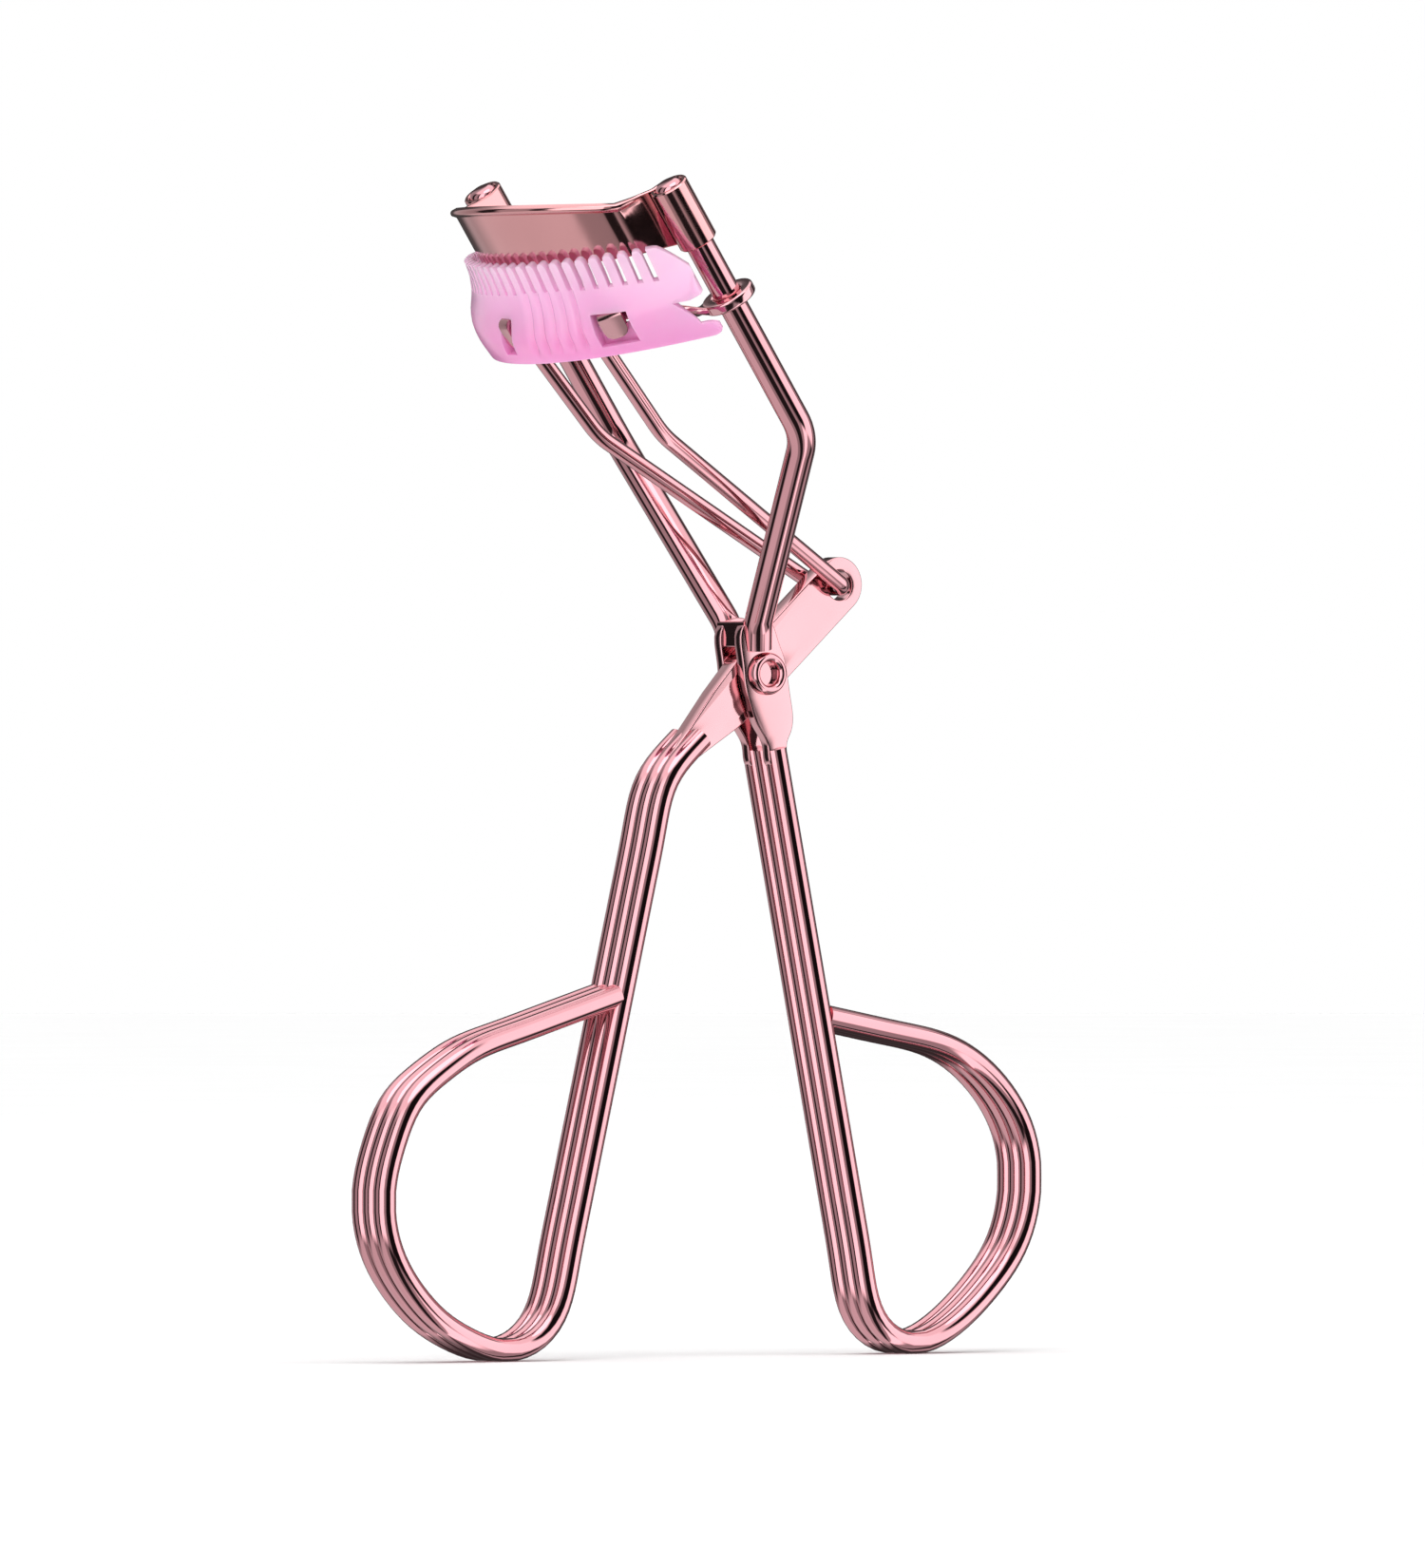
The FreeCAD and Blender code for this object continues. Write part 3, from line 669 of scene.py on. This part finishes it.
for sgn in (1, -1):
    # eyelet
    place = lambda x, y, t, s=sgn: J(x, ROD_Y * s + y, t)
    half = EYE_T / 2
    sec = round_section([(EYE_ID / 2, EYE_H - half), (EYE_OD / 2, EYE_H - half), (EYE_OD / 2, EYE_H + half),
                         (EYE_ID / 2, EYE_H + half)], 0.28, 6)
    parts.append(lathe("eye_%d" % sgn, sec, place))
    # wing: ribbon that twists on its way to the eyelet
    a = math.radians(JAW_HALF - 1.6)
    s = np.array([CX + ARC_R * math.cos(a), ARC_R * math.sin(a) * sgn])
    c = np.array([0.0, ROD_Y * sgn])
    d = (s - c) / np.linalg.norm(s - c)
    e = c + d * (EYE_OD / 2 - 0.35)
    tan_s = np.array([math.cos(a), math.sin(a) * sgn])
    rr = []
    for w in np.linspace(0, 1, 25):
        q = s * (1 - w) + e * w
        ease = w * w * (3 - 2 * w)
        h = 17.05 * (1 - ease) + EYE_H * ease
        side = tan_s * (1 - ease) + np.array([-d[1], d[0]]) * sgn * ease
        side = side / np.linalg.norm(side)
        tw = math.radians(48 * math.sin(math.pi * w) ** 1.2)
        half_w = 1.15 - 0.30 * math.sin(math.pi * w)
        th = 0.40
        rib = []
        for x, y in round_section([(-half_w, -th), (half_w, -th), (half_w, th), (-half_w, th)], 0.25, 4):
            sx = x * math.cos(tw) - y * math.sin(tw)
            sh = x * math.sin(tw) + y * math.cos(tw)
            rib.append(J(q[0] + side[0] * sx, q[1] + side[1] * sx, h + sh))
        rr.append(rib)
    parts.append(loft("wing_%d" % sgn, rr))
lower = join("lower_jaw_channel", parts)
smooth(lower, 40)
piece(lower, "jaw", flat_metal, "rose_steel", "lower_jaw")

pw = PAD_W / 2 - 0.03
sec = [(ARC_R - pw, fl_top + 0.01), (ARC_R + pw, fl_top + 0.01)]
for w in np.linspace(0, 180, 15):
    b = math.radians(w)
    sec.append((ARC_R + pw * math.cos(b), PAD_TOP - 0.62 + 0.60 * math.sin(b)))
pad = loft("pad", [arc_ring(w, sec) for w in np.linspace(-JAW_HALF + 0.6, JAW_HALF - 0.6, 61)])
piece(pad, "jaw", pad_mat, "pad_rubber", "silicone_pad")

sec = round_section([(BARREL_ID / 2, -BARREL_HALF), (BARREL_OD / 2, -BARREL_HALF), (BARREL_OD / 2, BARREL_HALF),
                     (BARREL_ID / 2, BARREL_HALF)], 0.12, 4)
barrel = lathe("barrel_ring", sec, lambda x, y, t: np.array([hp[0] + x, t, hp[2] + y]), 48)
sad = [(-0.75, 0.95), (0.75, 0.95), (0.75, 1.35), (-0.75, 1.35)]
saddle = loft("saddle", [[J(HINGE_P + x, y, HINGE_H + h) for x, h in round_section(sad, 0.1, 3)]
                         for y in np.linspace(-BARREL_HALF + 0.1, BARREL_HALF - 0.1, 9)])
barrel = join("hinge_barrel", [barrel, saddle])
smooth(barrel, 40)
piece(barrel, "jaw", flat_metal, "rose_steel", "link_hinge_barrel")

# ---------------------------------------------------------------------------
# Lash comb: one shell with slots, fanned grooves and two windows
# ---------------------------------------------------------------------------
OUT_H = [12.0, 15.6, 17.6, 19.0, 20.9, 22.9, 24.6, 28.0]
OUT_R = [19.60, 20.20, 20.45, 20.30, 19.15, 18.45, 18.25, 18.20]
IN_H = [12.0, 15.6, 17.3, 18.2, 18.95, 20.6, 22.2, 23.6, 28.0]
IN_R = [19.00, 19.55, 19.70, 18.95, 18.32, 18.32, 17.80, 17.45, 17.45]
SLOT_H, LO_H, HI_H = 22.10, 15.90, 25.00
END_DEG = 56.0


def shell_r(h, hs, rs):
    """section radius, eased over its corners"""
    return sum(float(np.interp(h + d, hs, rs)) for d in (-0.5, -0.25, 0, 0.25, 0.5)) / 5


slots = [-46.2 + 4.2 * i for i in range(23)]
hw = math.degrees(0.25 / 18.6)
windows = [(s - w - 0.55, s + w + 0.55) for s, w in TABS]
tcol = set()
for v in (48.2, 49.2, 50.2, 51.0, 51.6, 52.2, 52.8, 53.4, 54.0, 54.6, 55.2, 55.6, END_DEG):
    tcol |= {-v, v}
for s in slots:
    tcol |= {s - hw, s - hw * 0.45, s, s + hw * 0.45, s + hw, s + 1.2, s - 1.2, s + 2.1}
for w0, w1 in windows:
    tcol |= {w0, w1}
tcol = sorted(t for t in tcol if -END_DEG <= t <= END_DEG)
keep = []
for t in tcol:
    if keep and t - keep[-1] < 0.16:
        if any(abs(t - v) < 1e-6 for pair in windows for v in pair):
            keep[-1] = t
        continue
    keep.append(t)
tcol = keep
WIN_LO, WIN_HI = fl_top - 2.02, fl_top + 1.04
NOTCH_LO, NOTCH_HI, NOTCH_DEG = 17.40, 20.00, 51.6
hrow = sorted(set([LO_H, 16.1, 16.4, 16.7, NOTCH_LO, 17.7, 18.0, 18.3, 18.6, 18.9, 19.2, 19.5, NOTCH_HI, 20.5, 21.0, 21.5, SLOT_H,
                   WIN_LO, WIN_HI, 22.5, 22.9, 23.4, 24.0, 24.4, 24.7, HI_H]))


hrow = [h for h in hrow if h in (WIN_LO, WIN_HI, SLOT_H, LO_H, HI_H, NOTCH_LO, NOTCH_HI) or min(abs(h - WIN_LO), abs(h - WIN_HI)) > 0.2]


def solid(i, j):
    t, h = (tcol[i] + tcol[i + 1]) / 2, (hrow[j] + hrow[j + 1]) / 2
    if h > SLOT_H and any(abs(t - s) < hw for s in slots):
        return False
    for w0, w1 in windows:
        if w0 < t < w1 and WIN_LO < h < WIN_HI:
            return False
    return not (abs(t) > NOTCH_DEG and NOTCH_LO < h < NOTCH_HI)


def comb_point(i, j, outer):
    t, h0 = tcol[i], hrow[j]
    g = abs(t)
    if g > 47.0:
        # the notch's edge leans back towards its top
        lean = 4.0 * max(0.0, min(1.0, (h0 - NOTCH_LO) / (NOTCH_HI - NOTCH_LO))) ** 1.5 * max(0.0, 1 - max(0.0, h0 - NOTCH_HI) / 1.2)
        g -= lean * min(1.0, (g - 47.0) / 4.6) * max(0.0, min(1.0, (56.0 - g) / 4.4) if h0 > NOTCH_HI else 1.0)
        k = max(0.0, min(1.0, (abs(t) - 49.8) / 6.2))
        if h0 > NOTCH_HI:
            h0 = NOTCH_HI + (h0 - NOTCH_HI) * (1 - 0.42 * k ** 1.3)
        elif h0 <= NOTCH_LO:
            k = max(0.0, min(1.0, (abs(t) - 53.0) / 3.0)) ** 2
            mid = (LO_H + NOTCH_LO) / 2 + 0.15
            h0 = mid + (h0 - mid) * (1 - 0.55 * k)
        t = math.copysign(g, t)
    elif h0 > 24.0 and slots[0] < t < slots[-1]:
        # rounded tooth tips
        d = min(abs(t - s) for s in slots)
        h0 -= 0.42 * (h0 - 24.0) * max(0.0, 1 - (d - hw) / 0.75) ** 2
    a = math.radians(t)
    h = h0 + SLOPE * (CX + 18.6 * math.cos(a) - APEX_P)
    r = shell_r(h, OUT_H, OUT_R) if outer else shell_r(h, IN_H, IN_R)
    if not outer:
        r = min(r, shell_r(h, OUT_H, OUT_R) - 0.45)
    if outer and -22.0 < t < -3.0 and 16.6 < h0 <= SLOT_H + 0.01:
        d = min(abs(t - s) for s in slots)
        r -= 0.40 * max(0.0, 1 - d / (hw * 1.9)) * min(1.0, (h0 - 16.6) / 0.8)
    y = r * math.sin(a)
    return J(CX + r * math.cos(a), max(-16.36, min(16.36, y)), h)


ni, nj = len(tcol), len(hrow)
verts, index = [], {}


def vid(i, j, o):
    key = (i, j, o)
    if key not in index:
        index[key] = len(verts)
        verts.append(comb_point(i, j, o))
    return index[key]


faces = []
mask = [[solid(i, j) for j in range(nj - 1)] for i in range(ni - 1)]


def at(i, j):
    return 0 <= i < ni - 1 and 0 <= j < nj - 1 and mask[i][j]


for i in range(ni - 1):
    for j in range(nj - 1):
        if not mask[i][j]:
            continue
        faces.append((vid(i, j, 1), vid(i + 1, j, 1), vid(i + 1, j + 1, 1), vid(i, j + 1, 1)))
        faces.append((vid(i, j, 0), vid(i, j + 1, 0), vid(i + 1, j + 1, 0), vid(i + 1, j, 0)))
        if not at(i - 1, j):
            faces.append((vid(i, j, 0), vid(i, j, 1), vid(i, j + 1, 1), vid(i, j + 1, 0)))
        if not at(i + 1, j):
            faces.append((vid(i + 1, j, 1), vid(i + 1, j, 0), vid(i + 1, j + 1, 0), vid(i + 1, j + 1, 1)))
        if not at(i, j - 1):
            faces.append((vid(i, j, 1), vid(i, j, 0), vid(i + 1, j, 0), vid(i + 1, j, 1)))
        if not at(i, j + 1):
            faces.append((vid(i, j + 1, 0), vid(i, j + 1, 1), vid(i + 1, j + 1, 1), vid(i + 1, j + 1, 0)))
comb = build("lash_comb", verts, faces, 45)
bevel(comb, 0.11, 3, 50.0, 60.0)
backs = []
for ang, wide in TABS:
    sec = round_section([(18.72, fl_bot - 2.40), (19.28, fl_bot - 2.40), (19.28, fl_bot - 0.06), (18.72, fl_bot - 0.06)], 0.12, 4)
    backs.append(loft("back", [arc_ring(w, sec) for w in np.linspace(ang - wide - 1.6, ang + wide + 1.6, 15)]))
comb = join("lash_comb_shell", [comb] + backs)
smooth(comb, 60)
piece(comb, "jaw", comb_mat, "comb_plastic", "comb_guard")

# ---------------------------------------------------------------------------
# Floor, light, camera
# ---------------------------------------------------------------------------
ring = [(3.0 * math.cos(w), 3.0 * math.sin(w)) for w in np.linspace(0, 2 * math.pi, 96, endpoint=False)]
fm = bpy.data.meshes.new("floor")
fm.from_pydata([(x, y, -0.00002) for x, y in ring], [], [tuple(range(96))])
floor = bpy.data.objects.new("floor", fm)
bpy.context.scene.collection.objects.link(floor)
m, n, l, b = material("floor_paper")
b.inputs["Roughness"].default_value = 0.9
b.inputs["Specular IOR Level"].default_value = 0.1
tc = n.new("ShaderNodeTexCoord")
pn = node(n, "ShaderNodeTexNoise", Scale=30.0, Detail=2.0)
l.new(tc.outputs["Object"], pn.inputs["Vector"])
c = ramp(n, [(0.3, (0.975, 0.975, 0.975)), (0.7, (0.99, 0.99, 0.99))])
l.new(pn.outputs["Fac"], c.inputs["Fac"])
l.new(c.outputs["Color"], b.inputs["Base Color"])
fm.materials.append(m)
floor.visible_glossy = False

world = bpy.data.worlds.new("studio")
bpy.context.scene.world = world
world.use_nodes = True
n, l = world.node_tree.nodes, world.node_tree.links
n.clear()
tc = n.new("ShaderNodeTexCoord")
sep = n.new("ShaderNodeSeparateXYZ")
l.new(tc.outputs["Generated"], sep.inputs["Vector"])
# azimuth about Z, measured from the direction (-0.602, -0.799), positive towards +X
mp = n.new("ShaderNodeMapping")
mp.vector_type = "POINT"
mp.inputs["Rotation"].default_value = (0, 0, math.radians(90 + 37))
l.new(tc.outputs["Generated"], mp.inputs["Vector"])
s2 = n.new("ShaderNodeSeparateXYZ")
l.new(mp.outputs["Vector"], s2.inputs["Vector"])
at2 = n.new("ShaderNodeMath")
at2.operation = "ARCTAN2"
l.new(s2.outputs["Y"], at2.inputs[0])
l.new(s2.outputs["X"], at2.inputs[1])
nm = n.new("ShaderNodeMapRange")
nm.inputs["From Min"].default_value = -math.pi
nm.inputs["From Max"].default_value = math.pi
l.new(at2.outputs["Value"], nm.inputs["Value"])


def grey(v):
    return (v, v, v)


def at_deg(d):
    return (d + 180) / 360


bands = ramp(n, [(at_deg(d), grey(v)) for d, v in (
    (-180, 0.03), (-160, 0.04), (-152, 0.26), (-116, 0.20), (-112, 0.01), (-94, 0.01), (-90, 0.26), (-64, 0.24),
    (-61, 0.01), (-50, 0.01), (-47, 0.92), (-8, 0.98), (-4, 0.24), (14, 0.20), (18, 0.005), (60, 0.005), (65, 0.86),
    (106, 0.92), (110, 0.16), (126, 0.24), (130, 0.02), (148, 0.02), (153, 0.18), (168, 0.03), (180, 0.03))])
l.new(nm.outputs["Result"], bands.inputs["Fac"])
below = ramp(n, [(at_deg(d), grey(v)) for d, v in (
    (-180, 0.02), (-170, 0.04), (-150, 0.40), (-70, 0.42), (-64, 0.42), (-48, 0.42), (-42, 0.20), (-20, 0.20),
    (-14, 0.01), (20, 0.01), (24, 0.24), (40, 0.26), (44, 0.90), (64, 0.92), (70, 0.22), (92, 0.24), (96, 0.02),
    (112, 0.02), (116, 0.30), (140, 0.26), (150, 0.04), (168, 0.03), (180, 0.02))])
l.new(nm.outputs["Result"], below.inputs["Fac"])
down = n.new("ShaderNodeMapRange")
down.inputs["From Min"].default_value = -0.36
down.inputs["From Max"].default_value = -0.48
l.new(sep.outputs["Z"], down.inputs["Value"])
low = n.new("ShaderNodeMix")
low.data_type = "RGBA"
l.new(down.outputs["Result"], low.inputs[0])
l.new(bands.outputs["Color"], low.inputs[6])
l.new(below.outputs["Color"], low.inputs[7])
up = n.new("ShaderNodeMapRange")
up.inputs["From Min"].default_value = 0.62
up.inputs["From Max"].default_value = 0.74
l.new(sep.outputs["Z"], up.inputs["Value"])
mix = n.new("ShaderNodeMix")
mix.data_type = "RGBA"
l.new(up.outputs["Result"], mix.inputs[0])
l.new(low.outputs[2], mix.inputs[6])
mix.inputs[7].default_value = (0.70, 0.70, 0.70, 1)
studio = node(n, "ShaderNodeBackground", Strength=2.0)
l.new(mix.outputs[2], studio.inputs["Color"])
plain = node(n, "ShaderNodeBackground", Color=(1, 1, 1, 1), Strength=1.0)
lp = n.new("ShaderNodeLightPath")
sh = n.new("ShaderNodeMixShader")
out = n.new("ShaderNodeOutputWorld")
l.new(lp.outputs["Is Camera Ray"], sh.inputs["Fac"])
l.new(studio.outputs["Background"], sh.inputs[1])
l.new(plain.outputs["Background"], sh.inputs[2])
l.new(sh.outputs["Shader"], out.inputs["Surface"])

light = bpy.data.lights.new("overhead", "AREA")
light.shape = "DISK"
light.size = 0.9
light.energy = 2.2
lo_ = bpy.data.objects.new("overhead", light)
lo_.location = (-0.25, -0.35, 1.1)
lo_.rotation_euler = (Vector((0, 0, 0.05)) - lo_.location).to_track_quat("-Z", "Y").to_euler()
bpy.context.scene.collection.objects.link(lo_)

cam = bpy.data.cameras.new("camera")
cam.sensor_width = 36.0
cam.sensor_fit = "AUTO"
D = 2.0
cam.lens = 36.0 * D / 0.14224
co = bpy.data.objects.new("camera", cam)
target = Vector((0.00304, 0.00218, 0.0519))
co.location = target + D * Vector((-0.6018, -0.7986, 0.0))
co.rotation_euler = (target - co.location).to_track_quat("-Z", "Y").to_euler()
cam.clip_start, cam.clip_end = 0.01, 100
bpy.context.scene.collection.objects.link(co)
bpy.context.scene.camera = co
bpy.context.scene.view_settings.view_transform = "Standard"
bpy.context.scene.view_settings.look = "None"
